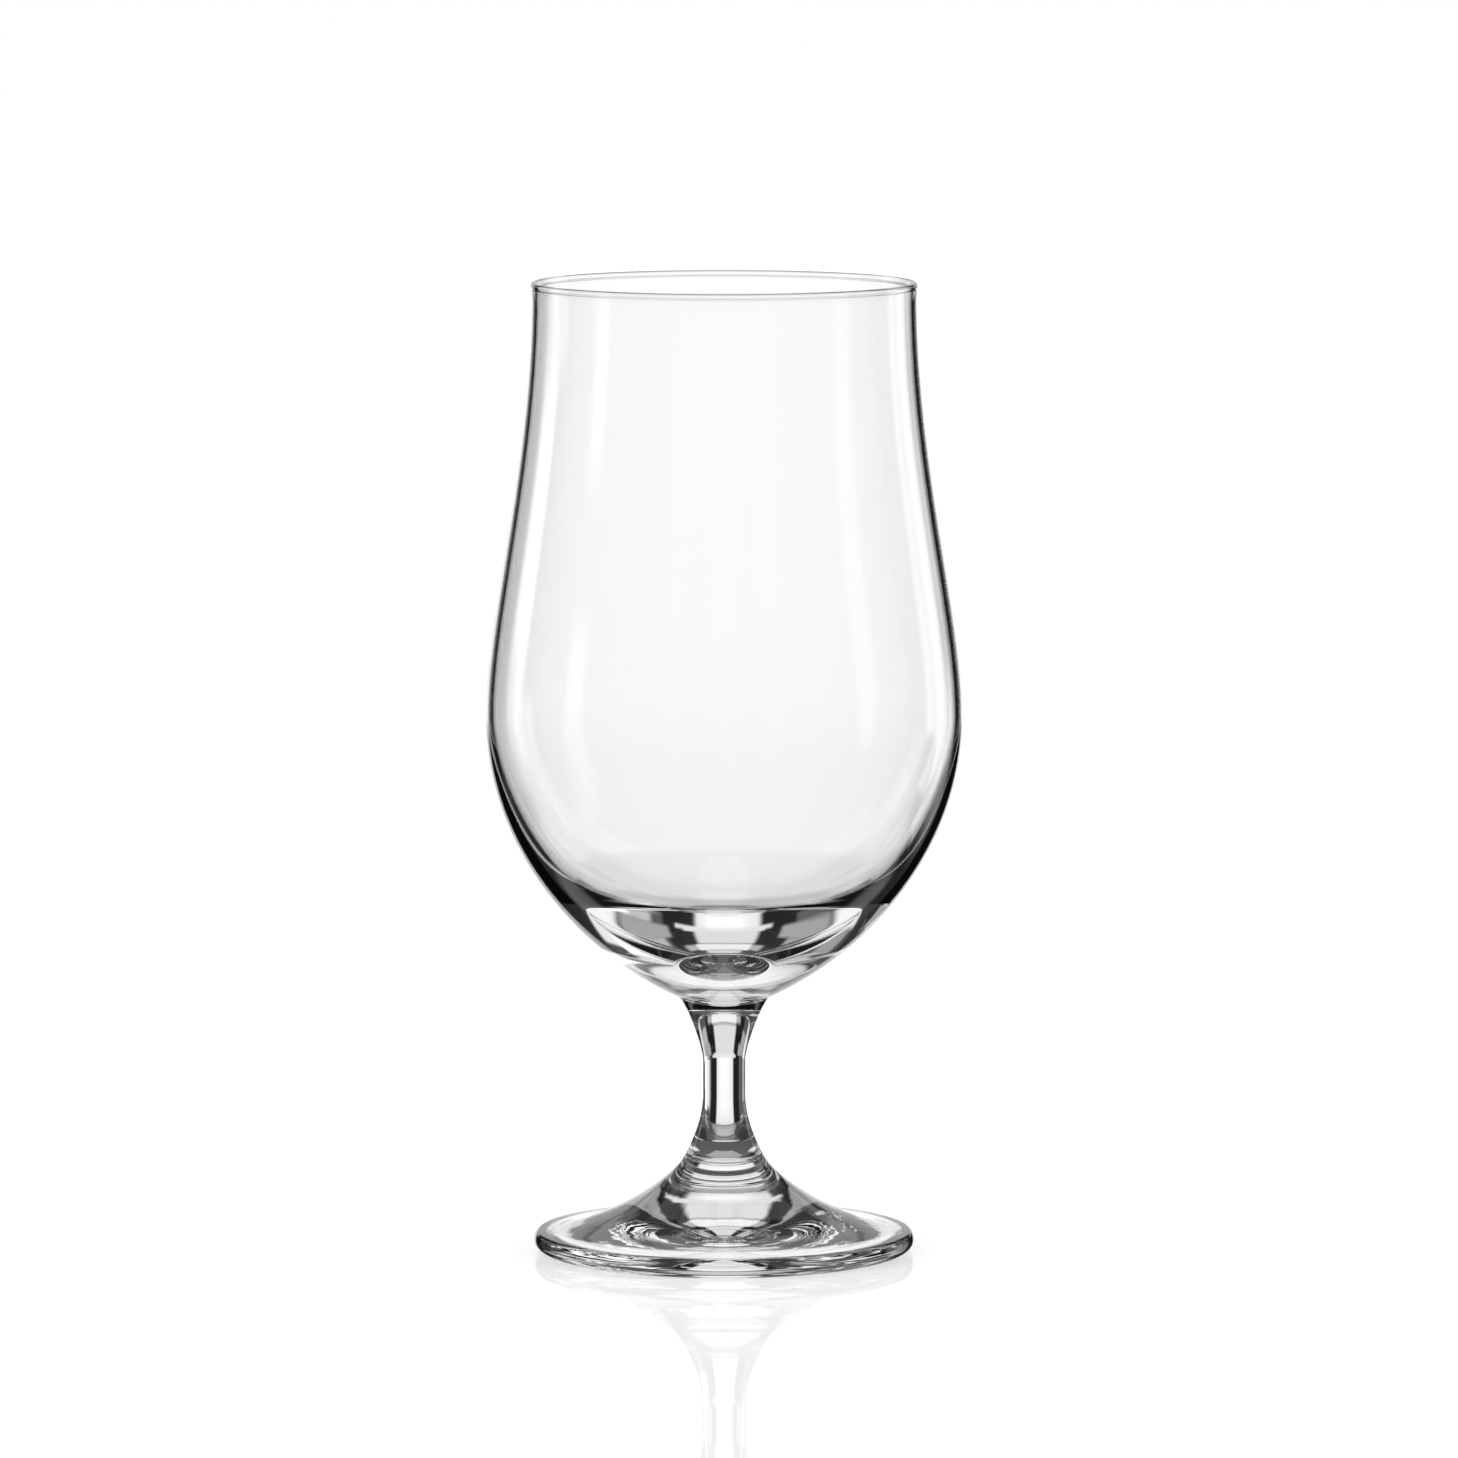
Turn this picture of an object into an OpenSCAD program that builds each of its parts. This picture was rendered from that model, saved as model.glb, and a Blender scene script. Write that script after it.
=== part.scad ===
// Tulip beer glass on a short stem.
// The real glass is three pieces of glass fused hot, end to end: a blown bowl, a drawn stem and a
// spun foot. Each piece is a solid of revolution about +Z. The origin is the centre of the foot on
// the table, and heights are measured from the table.

/* [Overall] */
// Height of the whole glass, from the table to the top of the lip
glass_height = 180; // [170:0.5:200]

/* [Bowl] */
// Outer diameter of the wall just under the lip
lip_d = 71; // [66:0.1:78]
// Outer diameter at the belly, the widest part of the bowl
belly_d = 88; // [82:0.1:96]
// Height of the belly above the table
belly_height = 100; // [92:0.1:108]
// Thickness of the wall just under the lip
lip_wall = 1.1; // [0.8:0.05:1.6]
// Thickness of the wall at the belly
belly_wall = 1.3; // [1:0.05:2.4]
// Thickness of the solid glass between the drink and the stem
base_thickness = 9.5; // [7:0.1:14]
// How far the fire-polished bead of the lip stands proud of the wall, on each side
bead_proud = 0.15; // [0.05:0.05:0.4]
// Height over which the wall swells into that bead
bead_swell = 0.6; // [0.4:0.1:2]
// Slope of the outside where the bowl meets the stem, in degrees above level
bowl_weld_slope = 24.4; // [16:0.1:32]
// Slope of the inside where it turns from the bowl's side to its floor, in degrees above level
inner_turn_slope = 34; // [28:0.5:42]

/* [Stem] */
// Height of the fused seam between bowl and stem
bowl_weld_height = 47.7; // [43:0.1:52]
// Diameter of the fused seam between bowl and stem
bowl_weld_d = 17.2; // [14:0.1:20]
// Diameter of the waist, the thinnest part of the stem
waist_d = 7.8; // [6:0.1:10]
// Length of the straight waist
waist_length = 5.8; // [3:0.1:8]
// Height of the middle of the waist above the table
waist_height = 32.7; // [30:0.1:35]
// Slope of the stem's side just under the bowl, in degrees above level
stem_top_slope = 39; // [30:0.5:50]

/* [Foot] */
// Height of the fused seam between stem and foot
foot_weld_height = 18.3; // [16:0.1:21]
// Diameter of the fused seam between stem and foot
foot_weld_d = 14.2; // [12:0.1:16]
// Slope of the side at that seam, in degrees above level
foot_weld_slope = 63.4; // [55:0.1:70]
// Diameter of the foot
foot_d = 70.4; // [62:0.1:78]
// Height of the top of the foot's rounded edge
edge_height = 4; // [3:0.1:5]
// Slope of the foot's top where it runs into the edge, in degrees above level
edge_slope = 2; // [0:0.1:5]
// How far the edge rounds over on top
edge_top_round = 1; // [0.5:0.1:2]
// How far the edge rounds under, in to the ring that the glass stands on
edge_under_round = 2.8; // [2:0.1:4]
// Width of the flat ring that the glass stands on
rest_ring_width = 1.2; // [0.8:0.1:3]
// Rise of the hollow under the foot, at its middle
hollow_rise = 2.4; // [1:0.1:4]

/* [Hidden] */
$fn = 120;

// Steps along one long curve, and along one small round
curve_steps = 28;
round_steps = 8;

// Share of the way to a quarter circle's corner at which its curve's handles lie
quarter_round_share = 0.5523;

// Handles of the bowl's outside, as shares of the height or width that each curve spans
lip_handle_share = 0.408;
belly_up_share = 0.234;
belly_down_share = 0.479;
bowl_weld_handle_share = 0.502;

// Where the inside turns from side to floor, as shares of the way out to the belly's wall and of
// the way up to the belly
inner_turn_out_share = 0.66;
inner_turn_up_share = 0.25;

// Handles of the inside's side and floor, as shares of each curve's chord
inner_belly_share = 0.43;
inner_side_share = 0.17;
inner_floor_share = 0.27;
inner_bottom_share = 0.32;

// Handles of the stem's two flares and of the foot's top, as shares of each curve's chord
stem_top_handle_share = 0.18;
waist_up_share = 0.19;
waist_down_share = 0.39;
stem_foot_handle_share = 0.31;
foot_weld_handle_share = 0.2;
foot_edge_handle_share = 0.34;

// Height of the edge's widest ring, as a share of the edge's height
edge_widest_share = 0.54;
// Handle of the hollow's curve at its rim, as a share of its radius
hollow_rim_share = 0.45;

// Radii and heights that more than one piece uses
lip_r = lip_d / 2;
belly_r = belly_d / 2;
bowl_weld_r = bowl_weld_d / 2;
waist_r = waist_d / 2;
waist_top = waist_height + waist_length / 2;
waist_bottom = waist_height - waist_length / 2;
foot_weld_r = foot_weld_d / 2;
foot_r = foot_d / 2;

// Inside of the bowl
inner_lip_r = lip_r - lip_wall;
inner_belly_r = belly_r - belly_wall;
inner_bottom = bowl_weld_height + base_thickness;

// Bead of the lip: a half round on top of a short swelling of the wall
bead_r = lip_wall / 2 + bead_proud;
bead_height = glass_height - bead_r;
wall_top = bead_height - bead_swell;

// Edge of the foot, and the ring that it stands on
edge_r = foot_r - edge_top_round;
edge_widest_height = edge_height * edge_widest_share;
rest_outer_r = foot_r - edge_under_round;
rest_inner_r = rest_outer_r - rest_ring_width;

// A point, and a row of points, on the cubic curve from a to d with handles b and c
function curve_point(a, b, c, d, t) =
    a * pow(1 - t, 3) + 3 * b * t * pow(1 - t, 2) + 3 * c * pow(t, 2) * (1 - t) + d * pow(t, 3);
function curve(a, b, c, d, steps) = [for (i = [0 : steps]) curve_point(a, b, c, d, i / steps)];

// The same row without its first point, to follow on from another row
function curve_on(a, b, c, d, steps) = [for (i = [1 : steps]) curve_point(a, b, c, d, i / steps)];

// A step of the given length at an angle above level, outwards
function step_out(slope, length) = [length * cos(slope), length * sin(slope)];

// A quarter of a circle or an ellipse from a to b, round the corner that both tangents meet at
function quarter(a, corner, b) = curve_on(
    a,
    a + (corner - a) * quarter_round_share,
    b + (corner - b) * quarter_round_share,
    b,
    round_steps
);

// A short swelling from a to b, upright at both ends
function swelling(a, b) = curve_on(a, [a[0], (a[1] + b[1]) / 2], [b[0], (a[1] + b[1]) / 2], b, round_steps);

// Outside of the bowl, from the seam with the stem up to the wall's top
function bowl_outside() =
    let (
        seam = [bowl_weld_r, bowl_weld_height],
        belly = [belly_r, belly_height],
        top = [lip_r, wall_top],
        side = belly - seam,
        seam_handle = bowl_weld_handle_share * side[0] / cos(bowl_weld_slope)
    )
    concat(
        curve(
            seam,
            seam + step_out(bowl_weld_slope, seam_handle),
            belly - [0, side[1] * belly_down_share],
            belly,
            curve_steps
        ),
        curve_on(
            belly,
            belly + [0, (wall_top - belly_height) * belly_up_share],
            top - [0, (wall_top - belly_height) * lip_handle_share],
            top,
            curve_steps
        )
    );

// Fire-polished lip, from the wall's outside over the bead to the wall's inside
function lip_bead() =
    let (
        outer = [lip_r + bead_proud, bead_height],
        inner = [inner_lip_r - bead_proud, bead_height],
        crown = [(lip_r + inner_lip_r) / 2, glass_height]
    )
    concat(
        swelling([lip_r, wall_top], outer),
        quarter(outer, [outer[0], crown[1]], crown),
        quarter(crown, [inner[0], crown[1]], inner),
        swelling(inner, [inner_lip_r, wall_top])
    );

// Inside of the bowl, from the wall's top down to the middle of the solid base
function bowl_inside() =
    let (
        top = [inner_lip_r, wall_top],
        belly = [inner_belly_r, belly_height],
        bottom = [0, inner_bottom],
        turn = bottom + [
            inner_belly_r * inner_turn_out_share,
            (belly_height - inner_bottom) * inner_turn_up_share
        ],
        side_chord = norm(belly - turn),
        floor_chord = norm(turn - bottom)
    )
    concat(
        curve_on(
            top,
            top - [0, (wall_top - belly_height) * lip_handle_share],
            belly + [0, (wall_top - belly_height) * belly_up_share],
            belly,
            curve_steps
        ),
        curve_on(
            belly,
            belly - [0, side_chord * inner_belly_share],
            turn + step_out(inner_turn_slope, side_chord * inner_side_share),
            turn,
            curve_steps
        ),
        curve_on(
            turn,
            turn - step_out(inner_turn_slope, floor_chord * inner_floor_share),
            bottom + [floor_chord * inner_bottom_share, 0],
            bottom,
            curve_steps
        )
    );

// Side of the stem, from the seam with the foot up to the seam with the bowl
function stem_side() =
    let (
        low = [foot_weld_r, foot_weld_height],
        waist_low = [waist_r, waist_bottom],
        waist_high = [waist_r, waist_top],
        high = [bowl_weld_r, bowl_weld_height],
        low_chord = norm(waist_low - low),
        high_chord = norm(high - waist_high)
    )
    concat(
        curve(
            low,
            low + step_out(180 - foot_weld_slope, low_chord * stem_foot_handle_share),
            waist_low - [0, low_chord * waist_down_share],
            waist_low,
            curve_steps
        ),
        curve(
            waist_high,
            waist_high + [0, high_chord * waist_up_share],
            high - step_out(stem_top_slope, high_chord * stem_top_handle_share),
            high,
            curve_steps
        )
    );

// Top of the foot, from the seam with the stem out to the rounded edge
function foot_top() =
    let (
        seam = [foot_weld_r, foot_weld_height],
        edge = [edge_r, edge_height],
        chord = norm(edge - seam)
    )
    curve(
        seam,
        seam - step_out(180 - foot_weld_slope, chord * foot_weld_handle_share),
        edge + step_out(180 - edge_slope, chord * foot_edge_handle_share),
        edge,
        curve_steps
    );

// Rounded edge of the foot, down to the ring that it stands on
function foot_edge() =
    let (
        top = [edge_r, edge_height],
        widest = [foot_r, edge_widest_height],
        under = [rest_outer_r, 0]
    )
    concat(
        quarter(top, [widest[0], top[1]], widest),
        quarter(widest, [widest[0], under[1]], under)
    );

// Hollow under the foot, from the ring that it stands on in to the middle
function foot_hollow() = curve(
    [rest_inner_r, 0],
    [rest_inner_r * (1 - hollow_rim_share), hollow_rise],
    [rest_inner_r * hollow_rim_share, hollow_rise],
    [0, hollow_rise],
    curve_steps
);

// Blown bowl: a thin wall that thickens into a solid base over the stem
module bowl() {
    color("azure", 0.4)
        rotate_extrude()
            polygon(concat([[0, bowl_weld_height]], bowl_outside(), lip_bead(), bowl_inside()));
}

// Drawn stem: a straight waist that flares into the bowl above and the foot below
module stem() {
    color("lightcyan", 0.6)
        rotate_extrude()
            polygon(concat([[0, foot_weld_height]], stem_side(), [[0, bowl_weld_height]]));
}

// Spun foot: a cone that sweeps out to a rounded edge, hollowed underneath
module foot() {
    color("lightsteelblue", 0.6)
        rotate_extrude()
            polygon(concat([[0, foot_weld_height]], foot_top(), foot_edge(), foot_hollow()));
}

bowl();
stem();
foot();
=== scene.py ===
# %% [markdown]
# # A tulip beer glass in a bright-field studio
# Clear glass has almost no look of its own: it shows what stands around it, bent. So this lesson
# has two halves. The first turns three smooth outlines into three closed pieces of glass. The
# second builds the studio that the glass bends into bright bands and dark lines.
#
# The construction model comes first. It gives the real size and the heights of the two seams, so
# the glass made here is as large as the real one, and its pieces meet where they should.

# %% Load the frame
import math

import bpy
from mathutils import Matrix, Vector


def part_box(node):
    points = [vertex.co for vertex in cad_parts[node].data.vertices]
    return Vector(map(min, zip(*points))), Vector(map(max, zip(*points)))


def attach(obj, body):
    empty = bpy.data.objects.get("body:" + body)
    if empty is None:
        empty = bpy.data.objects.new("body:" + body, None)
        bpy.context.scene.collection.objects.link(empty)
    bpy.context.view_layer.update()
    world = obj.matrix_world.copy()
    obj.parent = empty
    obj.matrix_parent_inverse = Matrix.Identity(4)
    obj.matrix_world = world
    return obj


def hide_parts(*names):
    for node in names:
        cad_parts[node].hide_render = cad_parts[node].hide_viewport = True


MM = 0.001
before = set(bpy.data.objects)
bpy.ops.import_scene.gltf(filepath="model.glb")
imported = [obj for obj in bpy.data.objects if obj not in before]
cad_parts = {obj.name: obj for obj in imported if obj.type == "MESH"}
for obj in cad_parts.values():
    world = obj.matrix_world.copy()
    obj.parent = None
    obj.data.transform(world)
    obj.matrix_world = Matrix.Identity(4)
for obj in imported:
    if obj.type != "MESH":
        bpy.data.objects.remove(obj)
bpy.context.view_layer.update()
print("nodes in the frame:", sorted(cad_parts))

# %% [markdown]
# ## Camera
# Glassware is pictured with a long lens from a little above the glass: its sides stay almost
# parallel, and its mouth and foot show as flat ellipses. The ratio of those two ellipses gives the
# distance, and their flatness gives the pitch. The lens and distance below make the glass 975
# pixels high in a frame of 1458.

# %% Camera
FRAME_SIDE = 1458
LENS_IN_PIXELS = 10330
SENSOR_WIDTH = 36
CAMERA_DISTANCE = 1.907
CAMERA_PITCH = math.radians(6.1)
AIM = Vector((0.9 * MM, 0, 97.35 * MM))

camera_data = bpy.data.cameras.new("camera")
camera_data.sensor_width = SENSOR_WIDTH
camera_data.lens = SENSOR_WIDTH * LENS_IN_PIXELS / FRAME_SIDE
camera = bpy.data.objects.new("camera", camera_data)
bpy.context.collection.objects.link(camera)
away = Vector((0, -math.cos(CAMERA_PITCH), math.sin(CAMERA_PITCH)))
camera.location = AIM + away * CAMERA_DISTANCE
camera.rotation_euler = (math.pi / 2 - CAMERA_PITCH, 0, 0)
bpy.context.scene.camera = camera
bpy.context.scene.view_settings.view_transform = "Standard"
print("lens in mm:", round(camera_data.lens, 1))

# %% [markdown]
# ## Light inside thick glass
# In the solid base of a glass, light is thrown back from wall to wall before it comes out. A path
# that is cut off too early ends in black. Blender stops after four reflections, which blackens a
# wide band of the base, so this scene allows a few more. The dark line that real glass has along
# its edge stays.

# %% Light paths
INNER_REFLECTIONS = 7
PATH_STEPS = 16
light_paths = bpy.context.scene.cycles
light_paths.glossy_bounces = INNER_REFLECTIONS
light_paths.transmission_bounces = PATH_STEPS
light_paths.max_bounces = PATH_STEPS
print("reflections that a light path may make:", light_paths.glossy_bounces)

# %% [markdown]
# ## Outlines
# A blown or spun piece of glass is round, so one outline from its axis says everything about its
# form. It could be drawn as many straight lines, but glass shows every kink as a broken highlight.
# So each outline is made of a few cubic curves, which flow into each other as hot glass does. The
# helpers below walk along one curve and return its points as (radius, height) in millimetres.

# %% Curves
QUARTER_ROUND = 0.5523
CURVE_STEPS = 48
ROUND_STEPS = 10


def curve(a, b, c, d, steps=CURVE_STEPS):
    """Points along the cubic curve from a to d with handles b and c, without its first point."""
    a, b, c, d = Vector(a), Vector(b), Vector(c), Vector(d)
    points = []
    for i in range(1, steps + 1):
        t = i / steps
        start, end = a * (1 - t) ** 3, d * t**3
        points.append(start + 3 * b * t * (1 - t) ** 2 + 3 * c * t**2 * (1 - t) + end)
    return points


def quarter(a, corner, b):
    """A quarter round from a to b inside the corner that their tangents meet at."""
    a, corner, b = Vector(a), Vector(corner), Vector(b)
    return curve(a, a.lerp(corner, QUARTER_ROUND), b.lerp(corner, QUARTER_ROUND), b, ROUND_STEPS)


def swelling(a, b):
    """A short swelling from a to b, upright at both ends."""
    middle = (a[1] + b[1]) / 2
    return curve(a, (a[0], middle), (b[0], middle), b, ROUND_STEPS)


def step_out(degrees, length):
    """A step of the given length at an angle above level."""
    return Vector((math.cos(math.radians(degrees)), math.sin(math.radians(degrees)))) * length


print("points on one long curve:", CURVE_STEPS)

# %% [markdown]
# ## Bowl, outside
# The bowl is blown into a mould, which gives its outside: from the seam with the stem it sweeps out
# to the belly, then draws in to an upright mouth. Two curves do this, and at the belly both stand
# upright, so there is no corner. Heights and widths that the frame knows are read from it.

# %% Outside of the bowl
glass_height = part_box("bowl")[1].z / MM
bowl_weld_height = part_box("bowl")[0].z / MM
bowl_weld_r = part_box("stem")[1].x / MM
lip_r, lip_wall = 35.5, 1.1
belly_r, belly_height = 44.0, 100.0
bead_proud, bead_swell = 0.15, 0.6
BOWL_WELD_SLOPE, BOWL_WELD_SHARE = 24.4, 0.502
BELLY_DOWN_SHARE, BELLY_UP_SHARE, LIP_SHARE = 0.479, 0.234, 0.408

bead_height = glass_height - (lip_wall / 2 + bead_proud)
wall_top = bead_height - bead_swell
neck = wall_top - belly_height


def bowl_outside():
    """From the seam with the stem, over the belly, to the top of the wall."""
    seam = Vector((bowl_weld_r, bowl_weld_height))
    reach = BOWL_WELD_SHARE * (belly_r - bowl_weld_r) / math.cos(math.radians(BOWL_WELD_SLOPE))
    under_belly = belly_height - BELLY_DOWN_SHARE * (belly_height - bowl_weld_height)
    points = [seam]
    points += curve(
        seam,
        seam + step_out(BOWL_WELD_SLOPE, reach),
        (belly_r, under_belly),
        (belly_r, belly_height),
    )
    points += curve(
        (belly_r, belly_height),
        (belly_r, belly_height + BELLY_UP_SHARE * neck),
        (lip_r, wall_top - LIP_SHARE * neck),
        (lip_r, wall_top),
    )
    return points


print("seam with the stem at", round(bowl_weld_height, 2), "mm")

# %% [markdown]
# ## Lip
# The mouth is cut off and melted back with a flame. Surface tension pulls the hot rim into a small
# round bead, a little thicker than the wall. A half circle alone would leave a step at the wall, so
# a short swelling leads into it on each side.

# %% Bead of the lip
inner_lip_r = lip_r - lip_wall


def lip_bead():
    """From the wall's outside, over the bead, to the wall's inside."""
    outer, inner = lip_r + bead_proud, inner_lip_r - bead_proud
    crown = ((lip_r + inner_lip_r) / 2, glass_height)
    points = swelling((lip_r, wall_top), (outer, bead_height))
    points += quarter((outer, bead_height), (outer, glass_height), crown)
    points += quarter(crown, (inner, glass_height), (inner, bead_height))
    points += swelling((inner, bead_height), (inner_lip_r, wall_top))
    return points


print("the bead is", round(lip_wall + 2 * bead_proud, 2), "mm thick")

# %% [markdown]
# ## Bowl, inside
# The inside is blown free. The wall grows from about a millimetre at the lip into a solid base,
# where the glass is slowest to cool. The side and the floor of the inside are two curves that share
# their slope where they meet. This slope decides where the bright shape in the base shows.

# %% Inside of the bowl
belly_wall, base_thickness = 1.3, 9.5
inner_turn, INNER_TURN_SLOPE = Vector((28.18, 67.9)), 34.0
INNER_BELLY_SHARE, INNER_SIDE_SHARE = 0.43, 0.17
INNER_FLOOR_SHARE, INNER_BOTTOM_SHARE = 0.27, 0.32

belly_inside = Vector((belly_r - belly_wall, belly_height))
inner_bottom = Vector((0, bowl_weld_height + base_thickness))


def bowl_inside():
    """From the top of the wall down to the middle of the solid base."""
    side, floor_width = (belly_inside - inner_turn).length, (inner_turn - inner_bottom).length
    points = curve(
        (inner_lip_r, wall_top),
        (inner_lip_r, wall_top - LIP_SHARE * neck),
        belly_inside + Vector((0, BELLY_UP_SHARE * neck)),
        belly_inside,
    )
    points += curve(
        belly_inside,
        belly_inside - Vector((0, INNER_BELLY_SHARE * side)),
        inner_turn + step_out(INNER_TURN_SLOPE, INNER_SIDE_SHARE * side),
        inner_turn,
    )
    points += curve(
        inner_turn,
        inner_turn - step_out(INNER_TURN_SLOPE, INNER_FLOOR_SHARE * floor_width),
        inner_bottom + Vector((INNER_BOTTOM_SHARE * floor_width, 0)),
        inner_bottom,
    )
    return points


bowl_outline = bowl_outside() + lip_bead() + bowl_inside()
print("points in the bowl's outline:", len(bowl_outline))

# %% [markdown]
# ## Stem
# The stem is drawn while hot: a straight waist with a flare at each end. Each flare is one curve,
# upright at the waist and sloped like its neighbour at the seam, so the glass runs on without a
# step.

# %% Outline of the stem
foot_weld_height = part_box("foot")[1].z / MM
foot_weld_r, waist_r = 7.1, 3.9
waist_bottom, waist_top = 29.8, 35.6
WAIST_STEPS = 6
FOOT_WELD_SLOPE, STEM_TOP_SLOPE = 63.4, 39
STEM_FOOT_SHARE, WAIST_DOWN_SHARE = 0.31, 0.39
WAIST_UP_SHARE, STEM_TOP_SHARE = 0.19, 0.18


def stem_side():
    """From the seam with the foot, along the waist, to the seam with the bowl."""
    low, high = Vector((foot_weld_r, foot_weld_height)), Vector((bowl_weld_r, bowl_weld_height))
    waist_low, waist_high = Vector((waist_r, waist_bottom)), Vector((waist_r, waist_top))
    down, up = (waist_low - low).length, (high - waist_high).length
    points = [low]
    points += curve(
        low,
        low + step_out(180 - FOOT_WELD_SLOPE, STEM_FOOT_SHARE * down),
        waist_low - Vector((0, WAIST_DOWN_SHARE * down)),
        waist_low,
    )
    points += [waist_low.lerp(waist_high, i / WAIST_STEPS) for i in range(1, WAIST_STEPS + 1)]
    points += curve(
        waist_high,
        waist_high + Vector((0, WAIST_UP_SHARE * up)),
        high - step_out(STEM_TOP_SLOPE, STEM_TOP_SHARE * up),
        high,
    )
    return points


stem_outline = stem_side()
print("points in the stem's outline:", len(stem_outline))

# %% [markdown]
# ## Foot
# The foot is spun flat from a gob of hot glass. Its top sweeps out to an edge that surface tension
# has rounded. It stands on a narrow ring, and the underside within that ring is slightly hollow, so
# that the glass doesn't rock. The outline runs from the middle of the hollow outwards and up.

# %% Outline of the foot
foot_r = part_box("foot")[1].x / MM
edge_height, edge_top_round, edge_under_round = 4.0, 1.0, 2.8
rest_ring_width, hollow_rise = 1.2, 2.4
EDGE_SLOPE, EDGE_WIDEST_SHARE = 2, 0.54
FOOT_WELD_SHARE, FOOT_EDGE_SHARE = 0.2, 0.34
HOLLOW_SHARE = 0.45


def foot_top():
    """From the seam with the stem out to the rounded edge."""
    seam = Vector((foot_weld_r, foot_weld_height))
    edge = Vector((foot_r - edge_top_round, edge_height))
    reach = (edge - seam).length
    toward_edge = seam - step_out(180 - FOOT_WELD_SLOPE, FOOT_WELD_SHARE * reach)
    toward_seam = edge + step_out(180 - EDGE_SLOPE, FOOT_EDGE_SHARE * reach)
    return [seam] + curve(seam, toward_edge, toward_seam, edge)


def foot_edge_and_hollow():
    """Round the edge, across the ring that the glass stands on, and in to the axis."""
    widest = (foot_r, EDGE_WIDEST_SHARE * edge_height)
    rest_outer = foot_r - edge_under_round
    rest_inner = rest_outer - rest_ring_width
    points = quarter((foot_r - edge_top_round, edge_height), (foot_r, edge_height), widest)
    points += quarter(widest, (foot_r, 0), (rest_outer, 0))
    points += [Vector((rest_inner, 0))]
    points += curve(
        (rest_inner, 0),
        ((1 - HOLLOW_SHARE) * rest_inner, hollow_rise),
        (HOLLOW_SHARE * rest_inner, hollow_rise),
        (0, hollow_rise),
    )
    return points


foot_outline = list(reversed(foot_top() + foot_edge_and_hollow()))
print("points in the foot's outline:", len(foot_outline))

# %% [markdown]
# ## Ripples
# Spinning and fire polishing leave faint waves on top of the foot. They are only about a hundredth
# of a millimetre deep, too small to see as a shape, but they break up its highlights. A bump
# texture would tilt the light without moving the glass, so the waves are put into the mesh: three
# sets that run round the foot at different pitches and fade out at both ends.

# %% Ripples on the foot
RIPPLE_INNER_R, RIPPLE_OUTER_R = 10, 34
RIPPLE_DEPTH = 0.012
RIPPLES = [
    # waves round the foot, turn per mm outwards, start, share
    (19, 0.5, 0, 1),
    (31, -0.9, 1, 0.6),
    (47, 1.3, 0, 0.4),
]


def spun_ripple(radius, height, angle):
    """Lifts or lowers a point on top of the foot by a little."""
    if height <= edge_height or not RIPPLE_INNER_R < radius < RIPPLE_OUTER_R:
        return radius, height
    share = (radius - RIPPLE_INNER_R) / (RIPPLE_OUTER_R - RIPPLE_INNER_R)
    fade = math.sin(math.pi * share) ** 2
    waves = 0
    for count, twist, start, part in RIPPLES:
        waves += part * math.sin(count * angle + twist * radius + start)
    return radius, height + RIPPLE_DEPTH * fade * waves


print("sets of ripples on the foot:", len(RIPPLES))

# %% [markdown]
# ## Turning an outline into a closed skin
# Glass has to be a closed skin, because light bends on the way in and again on the way out. A Screw
# modifier could turn the outline, but the ripples and the flat ends need their own faces, so the
# mesh is written out: a ring of vertices for each point, faces from ring to ring, and one flat face
# at each open end. Those flat ends are the fused seams and get a material of their own.

# %% Rings and faces
SIDES = 256
AXIS_TOLERANCE = 1e-6


def rings_around(outline, wobble):
    """The outline's points set round +Z in metres, and the ring that each of them makes."""
    vertices, rings = [], []
    for radius, height in outline:
        first = len(vertices)
        if radius < AXIS_TOLERANCE:
            vertices.append((0, 0, height * MM))
            rings.append([first])
            continue
        for k in range(SIDES):
            angle = 2 * math.pi * k / SIDES
            r, z = wobble(radius, height, angle) if wobble else (radius, height)
            vertices.append((r * MM * math.cos(angle), r * MM * math.sin(angle), z * MM))
        rings.append(list(range(first, first + SIDES)))
    return vertices, rings


def skin_between(rings):
    """Faces from each ring to the next. A ring of one vertex lies on the axis."""
    faces = []
    for low, high in zip(rings, rings[1:]):
        for k in range(SIDES):
            n = (k + 1) % SIDES
            if len(low) == 1:
                faces.append((low[0], high[n], high[k]))
            elif len(high) == 1:
                faces.append((low[k], low[n], high[0]))
            else:
                faces.append((low[k], low[n], high[n], high[k]))
    return faces


print("sides of each ring:", SIDES)

# %% Lathe
POLISHED, FUSED = 0, 1


def turn(name, outline, wobble=None):
    """Turns an outline of (radius, height) in millimetres into a closed piece."""
    vertices, rings = rings_around(outline, wobble)
    faces = skin_between(rings)
    kinds = [POLISHED] * len(faces)
    for cap in (tuple(reversed(rings[0])), tuple(rings[-1])):
        if len(cap) == SIDES:
            faces.append(cap)
            kinds.append(FUSED)
    mesh = bpy.data.meshes.new(name)
    mesh.from_pydata(vertices, [], faces)
    mesh.polygons.foreach_set("material_index", kinds)
    mesh.polygons.foreach_set("use_smooth", [kind == POLISHED for kind in kinds])
    mesh.update()
    piece = bpy.data.objects.new(name, mesh)
    bpy.context.collection.objects.link(piece)
    print(name, "has", len(faces), "faces, of which", kinds.count(FUSED), "at fused seams")
    return piece


# %% [markdown]
# ## Glass
# The real glass is clear soda-lime glass, fire polished. The Glass shader would do, but the
# Principled shader also exports: full transmission, no roughness, and an index of 1.52, which
# decides how far each band of the studio is bent. It gets the slightest tint, which shows only
# where light passes through many walls.
#
# At the two fused seams there is no surface on the real glass. A transparent shader lets light
# through those flat faces as if they weren't there.

# %% Glass
GLASS_IOR = 1.52
BOWL_TINT = (0.998, 1, 0.999)
STEM_TINT = (0.998, 1, 0.999)
FOOT_TINT = (0.985, 0.99, 1)


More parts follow.
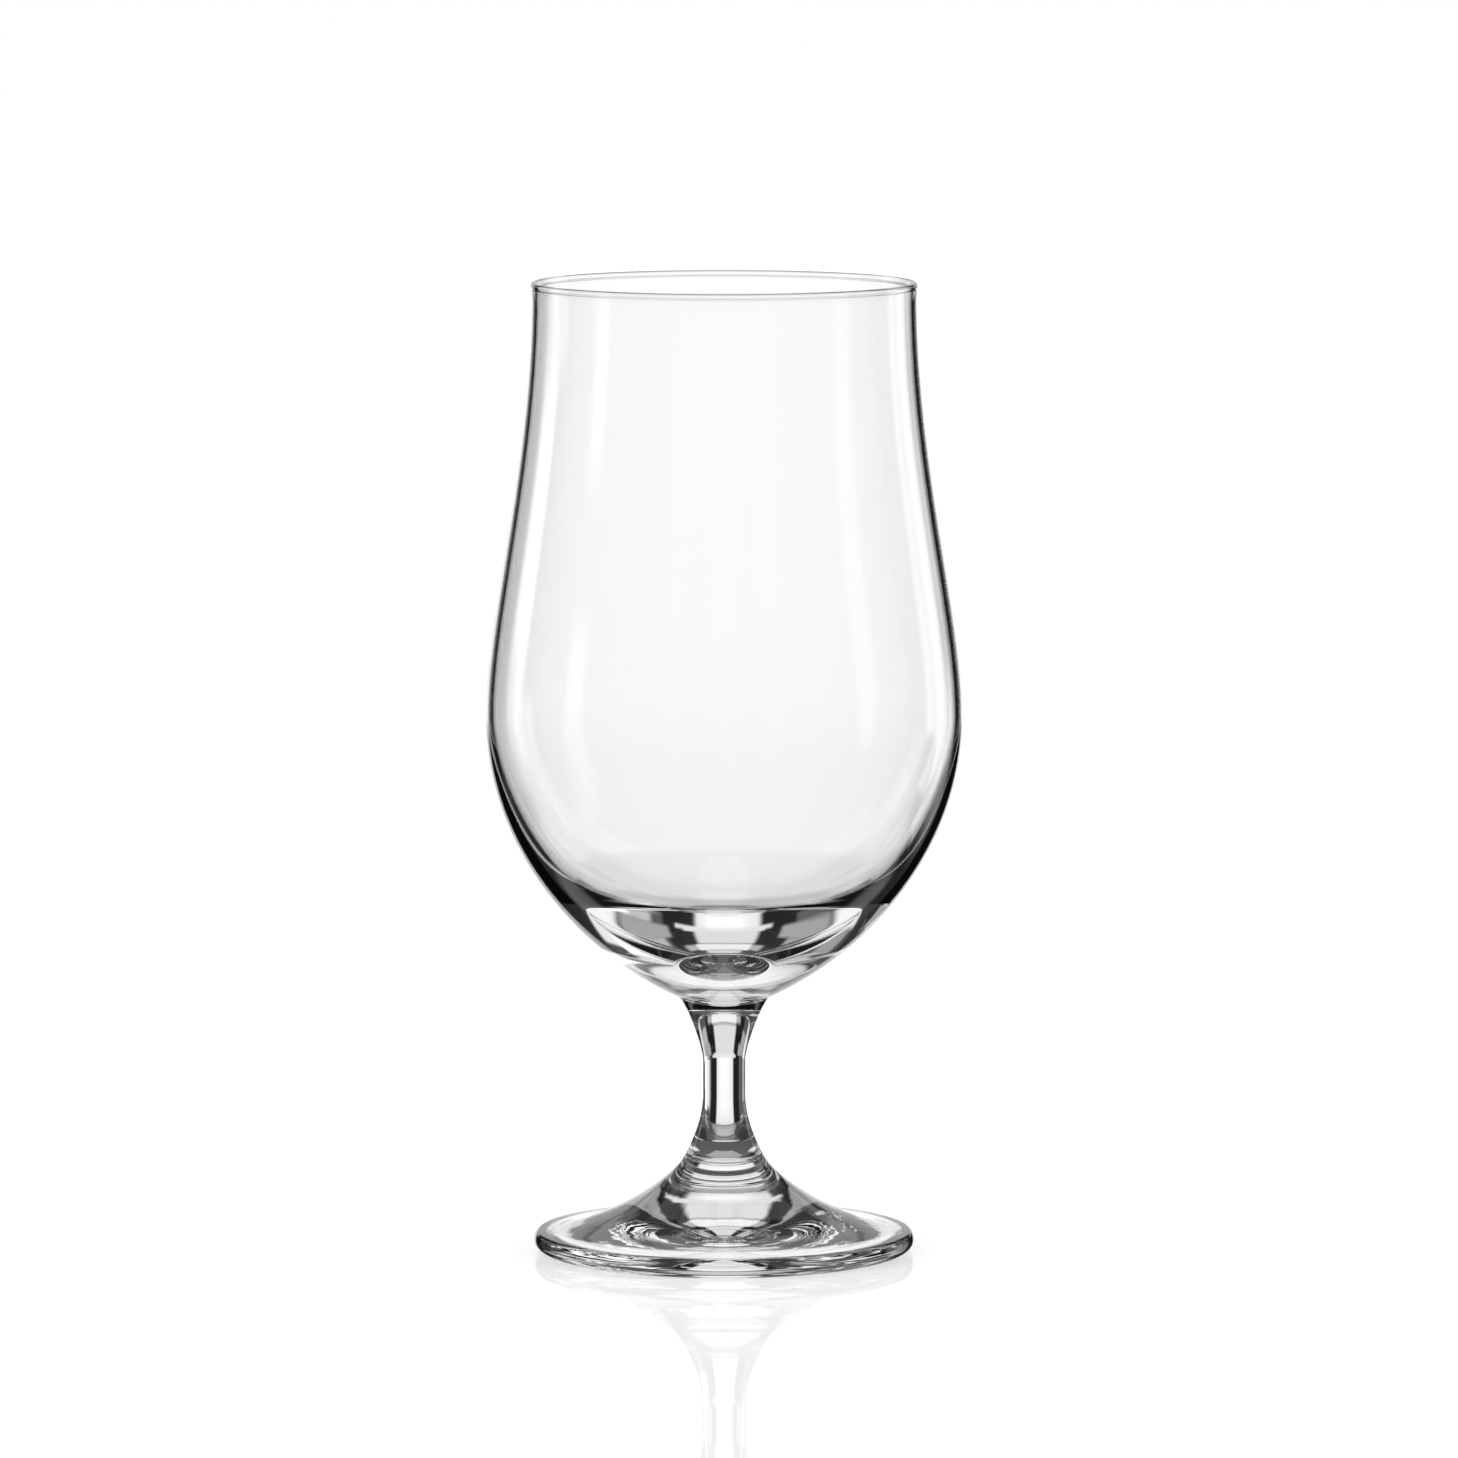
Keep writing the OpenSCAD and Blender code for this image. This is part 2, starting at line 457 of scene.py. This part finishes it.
def clear_glass(name, tint):
    material = bpy.data.materials.new(name)
    material.use_nodes = True
    shader = material.node_tree.nodes["Principled BSDF"]
    shader.inputs["Base Color"].default_value = (*tint, 1)
    shader.inputs["Roughness"].default_value = 0
    shader.inputs["IOR"].default_value = GLASS_IOR
    shader.inputs["Transmission Weight"].default_value = 1
    return material


def fused_seam():
    material = bpy.data.materials.new("fused_seam")
    material.use_nodes = True
    nodes, links = material.node_tree.nodes, material.node_tree.links
    nodes.clear()
    clear = nodes.new("ShaderNodeBsdfTransparent")
    out = nodes.new("ShaderNodeOutputMaterial")
    links.new(clear.outputs[0], out.inputs["Surface"])
    return material


seam_material = fused_seam()
print("index of refraction:", GLASS_IOR)

# %% [markdown]
# ## The three pieces
# Each piece stands for the node of the construction model that has the same shape with fewer faces.
# Nothing on the glass moves, so all three ride on the root body.


# %% Pieces
def finish_piece(piece, node, slot, tint):
    piece.data.materials.append(clear_glass(slot, tint))
    piece.data.materials.append(seam_material)
    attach(piece, "root")
    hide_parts(node)


finish_piece(turn("glass_bowl", bowl_outline), "bowl", "bowl_glass", BOWL_TINT)
finish_piece(turn("glass_stem", stem_outline), "stem", "stem_glass", STEM_TINT)
finish_piece(turn("glass_foot", foot_outline, spun_ripple), "foot", "foot_glass", FOOT_TINT)

# %% [markdown]
# ## World
# The background of a bright field is plain white. The camera sees it at a strength of 1, and so do
# reflections and the light that comes through glass. The light that falls on matt things is
# weaker, so that the floor keeps a soft shadow.

# %% World
SEEN_STRENGTH, LIGHT_STRENGTH = 1.0, 0.6
world = bpy.data.worlds.new("studio")
bpy.context.scene.world = world
world.use_nodes = True
nodes, links = world.node_tree.nodes, world.node_tree.links
nodes.clear()


def greater(first, second):
    """A node with the greater of two values."""
    node = nodes.new("ShaderNodeMath")
    node.operation = "MAXIMUM"
    links.new(first, node.inputs[0])
    links.new(second, node.inputs[1])
    return node.outputs[0]


path = nodes.new("ShaderNodeLightPath")
is_seen = greater(path.outputs["Is Camera Ray"], path.outputs["Is Glossy Ray"])
is_seen = greater(is_seen, path.outputs["Is Transmission Ray"])
strength = nodes.new("ShaderNodeMapRange")
links.new(is_seen, strength.inputs["Value"])
strength.inputs["To Min"].default_value = LIGHT_STRENGTH
strength.inputs["To Max"].default_value = SEEN_STRENGTH
background = nodes.new("ShaderNodeBackground")
background.inputs["Color"].default_value = (1, 1, 1, 1)
links.new(strength.outputs["Result"], background.inputs["Strength"])
out = nodes.new("ShaderNodeOutputWorld")
links.new(background.outputs[0], out.inputs["Surface"])
print("strength of the background:", SEEN_STRENGTH)

# %% [markdown]
# ## Studio
# What makes clear glass readable is what it bends into view. A lit backdrop fills the middle of the
# bowl. Black flags stand just outside the picture, and the walls bend them into the dark lines
# along the edges. Beyond the flags stand pale cards and tall white softboxes, which give the base
# and the stem their bright bands. Each of these panels could be a mesh of its own with a lamp, but
# glass sees them from so many sides that they would light each other. So the studio is one wide
# sphere, and each panel is a soft-edged patch of brightness on it, placed by its direction.
#
# A panel is given by its left and right edge and its lower and upper edge in degrees off the
# camera's line of sight, the softness of its edges in degrees, and its level, where 1 is white. A
# panel covers those that stand before it in the list.

# %% Flags and far walls
ROOM_LEVEL = 0.1
FLAGS = [
    # name, left, right, low, high, softness, level
    ("ceiling", -180, 180, 64, 100, 3, 0.25),
    ("gap_upper_left", -48, -27, 45, 63, 2, 0.55),
    ("gap_upper_right", 27, 48, 45, 63, 2, 0.5),
    ("flag_left", -34, -13, -30, 45, 1, 0.01),
    ("flag_right", 13, 29, -30, 45, 1, 0.01),
    ("flag_left_upper", -26, -13, 44, 64, 1, 0.02),
    ("flag_right_upper", 13, 26, 44, 64, 1, 0.02),
]
print("flags and far walls:", len(FLAGS))

# %% Backdrop and table
BACKDROP = [
    ("backdrop", -17.5, 14, -28, 11.5, 1.5, 0.92),
    ("horizon", -23, 23.5, 7, 10, 0.7, 0.84),
    ("horizon_narrow", -20, 20, 9, 11.5, 0.7, 0.84),
    ("backdrop_glow", -10, 9, -18, 6, 6, 1.06),
    ("upper_glow", -10, 9, -1, 6, 3, 1.12),
    ("ledge", -17.5, 15, 11, 25, 1.5, 0.8),
    ("upper_wings", -24, 24, 27, 36, 1.5, 0.5),
    ("upper", -17, 17, 26, 38, 1.2, 0.98),
    ("canopy", -13.5, 13.5, 39, 62, 1.5, 0.8),
    ("backdrop_top", -22, 21, 67, 80, 2, 1.0),
    ("table", -22, 22, -66, -38, 3, 0.4),
    ("table_edge", -17, 15, -38, -26, 2, 0.6),
]
print("panels behind the glass:", len(BACKDROP))

# %% Cards
CARDS = [
    ("grey_left", -47, -34, -26, 26, 1, 0.12),
    ("card_left", -48, -28, 10, 18, 1.2, 0.42),
    ("card_left_upper", -48, -33, 18, 25, 1.2, 0.42),
    ("card_right_low", 32.5, 47, -17, 3, 4, 0.9),
    ("card_right_edge", 34, 47, 5, 10, 1.2, 0.6),
    ("card_right", 27, 47, 10, 18, 1.2, 0.42),
    ("card_right_upper", 31, 47, 18, 27, 1.2, 0.52),
]
print("cards beside the flags:", len(CARDS))

# %% Towers and lamps
TOWERS = [
    ("tower_right", 49, 64, -5, 56, 2, 1.05),
    ("tower_right_upper", 60, 78, 30, 60, 4, 0.9),
    ("tower_left", -64, -50, 4, 56, 2, 1.05),
    ("tower_left_low", -62, -50, -14, 4, 2, 0.4),
    ("tower_left_upper", -78, -60, 30, 56, 4, 0.85),
    ("dark_right", 66, 130, -50, 24, 2, 0.03),
    ("dark_left", -150, -66, -50, 22, 2, 0.04),
    ("tall_softbox_left", -107, -98, -3, 6, 2, 1.1),
    ("tall_softbox_left_low", -107, -95, -34, -3, 1.5, 0.65),
    ("tall_light_right", 43, 54, -22, 9, 1.2, 1.5),
    ("lamp_low_left", -50, -36, -44, -27, 3, 0.8),
    ("lamp_low_right", 38, 50, -44, -27, 3, 0.8),
]
PANELS = FLAGS + BACKDROP + CARDS + TOWERS
print("panels in the studio:", len(PANELS))


# %% Brightness of the studio
def smooth(low, high, value):
    """0 below low, 1 above high, and a soft step between."""
    t = min(1, max(0, (value - low) / (high - low)))
    return t * t * (3 - 2 * t)


def band(value, start, end, soft):
    """1 from start to end and 0 elsewhere, with soft edges."""
    return smooth(start - soft, start + soft, value) * (1 - smooth(end - soft, end + soft, value))


def brightness(bearing, rise):
    """How bright the studio is in a direction, both in degrees off the camera's line of sight."""
    level = ROOM_LEVEL
    for name, left, right, low, high, soft, panel_level in PANELS:
        share = band(bearing, left, right, soft) * band(rise, low, high, soft)
        level += (panel_level - level) * share
    return level


print("brightness straight behind the glass:", round(brightness(0, 0), 2))

# %% [markdown]
# ## The sphere of the studio
# The sphere has a vertex for each degree, and each vertex keeps its brightness in an attribute that
# the material reads as the strength of its glow. The sphere hangs on the camera, so the glass is
# lit in the same way from whichever side it is looked at. The camera itself and the floor's matt
# light don't see it: it is there for the glass alone.

# %% Surround
SURROUND_RADIUS = 4.0
COLUMNS, ROWS = 360, 180


def surround_mesh():
    vertices, faces, levels = [], [], []
    for rise in range(-90, ROWS - 90 + 1):
        for bearing in range(-180, COLUMNS - 180):
            b, e = math.radians(bearing), math.radians(rise)
            right, up = math.cos(e) * math.sin(b), math.sin(e)
            behind = math.cos(e) * math.cos(b)
            x, y, z = right * SURROUND_RADIUS, up * SURROUND_RADIUS, -behind * SURROUND_RADIUS
            vertices.append((x, y, z - CAMERA_DISTANCE))
            levels.append(brightness(bearing, rise))
    for j in range(ROWS):
        low, high = j * COLUMNS, (j + 1) * COLUMNS
        for i in range(COLUMNS):
            n = (i + 1) % COLUMNS
            faces.append((low + i, low + n, high + n, high + i))
    mesh = bpy.data.meshes.new("surround")
    mesh.from_pydata(vertices, [], faces)
    mesh.attributes.new("glow", "FLOAT", "POINT").data.foreach_set("value", levels)
    return mesh


def surround_material():
    material = bpy.data.materials.new("surround")
    material.use_nodes = True
    nodes, links = material.node_tree.nodes, material.node_tree.links
    nodes.clear()
    level = nodes.new("ShaderNodeAttribute")
    level.attribute_name = "glow"
    emission = nodes.new("ShaderNodeEmission")
    links.new(level.outputs["Fac"], emission.inputs["Strength"])
    out = nodes.new("ShaderNodeOutputMaterial")
    links.new(emission.outputs[0], out.inputs["Surface"])
    return material


surround = bpy.data.objects.new("surround", surround_mesh())
bpy.context.collection.objects.link(surround)
surround.data.materials.append(surround_material())
surround.parent = camera
surround.visible_camera = False
surround.visible_diffuse = False
surround.visible_shadow = False
print("vertices in the surround:", len(surround.data.vertices))

# %% [markdown]
# ## Floor
# The glass stands on white acrylic, which shows a faint mirror image of the foot and fades to the
# white of the background. A matt shader alone would show no image, and a lit white floor alone no
# shadow. So the floor mixes a little gloss into matt white and adds a glow that lifts both to
# white. The glass doesn't see the floor, because in a bright field it shows the studio there.

# %% Floor
FLOOR_REACH = 4.0
FLOOR_GLOW, FLOOR_COLOUR = 0.54, 0.8
FLOOR_GLOSS, FLOOR_ROUGHNESS = 0.3, 0.03


def floor_material():
    material = bpy.data.materials.new("floor_white")
    material.use_nodes = True
    nodes, links = material.node_tree.nodes, material.node_tree.links
    nodes.clear()
    emission = nodes.new("ShaderNodeEmission")
    emission.inputs["Strength"].default_value = FLOOR_GLOW
    matt = nodes.new("ShaderNodeBsdfDiffuse")
    matt.inputs["Color"].default_value = (FLOOR_COLOUR, FLOOR_COLOUR, FLOOR_COLOUR, 1)
    gloss = nodes.new("ShaderNodeBsdfGlossy")
    gloss.inputs["Roughness"].default_value = FLOOR_ROUGHNESS
    mix = nodes.new("ShaderNodeMixShader")
    mix.inputs[0].default_value = FLOOR_GLOSS
    links.new(matt.outputs[0], mix.inputs[1])
    links.new(gloss.outputs[0], mix.inputs[2])
    add = nodes.new("ShaderNodeAddShader")
    links.new(mix.outputs[0], add.inputs[0])
    links.new(emission.outputs[0], add.inputs[1])
    out = nodes.new("ShaderNodeOutputMaterial")
    links.new(add.outputs[0], out.inputs["Surface"])
    return material


corners = []
for x, y in ((-1, -1), (1, -1), (1, 1), (-1, 1)):
    corners.append((x * FLOOR_REACH, y * FLOOR_REACH, 0))
floor_mesh = bpy.data.meshes.new("floor")
floor_mesh.from_pydata(corners, [], [(0, 1, 2, 3)])
floor_mesh.materials.append(floor_material())
floor = bpy.data.objects.new("floor", floor_mesh)
bpy.context.collection.objects.link(floor)
floor.visible_transmission = False
floor.visible_glossy = False
print("width of the floor in m:", 2 * FLOOR_REACH)
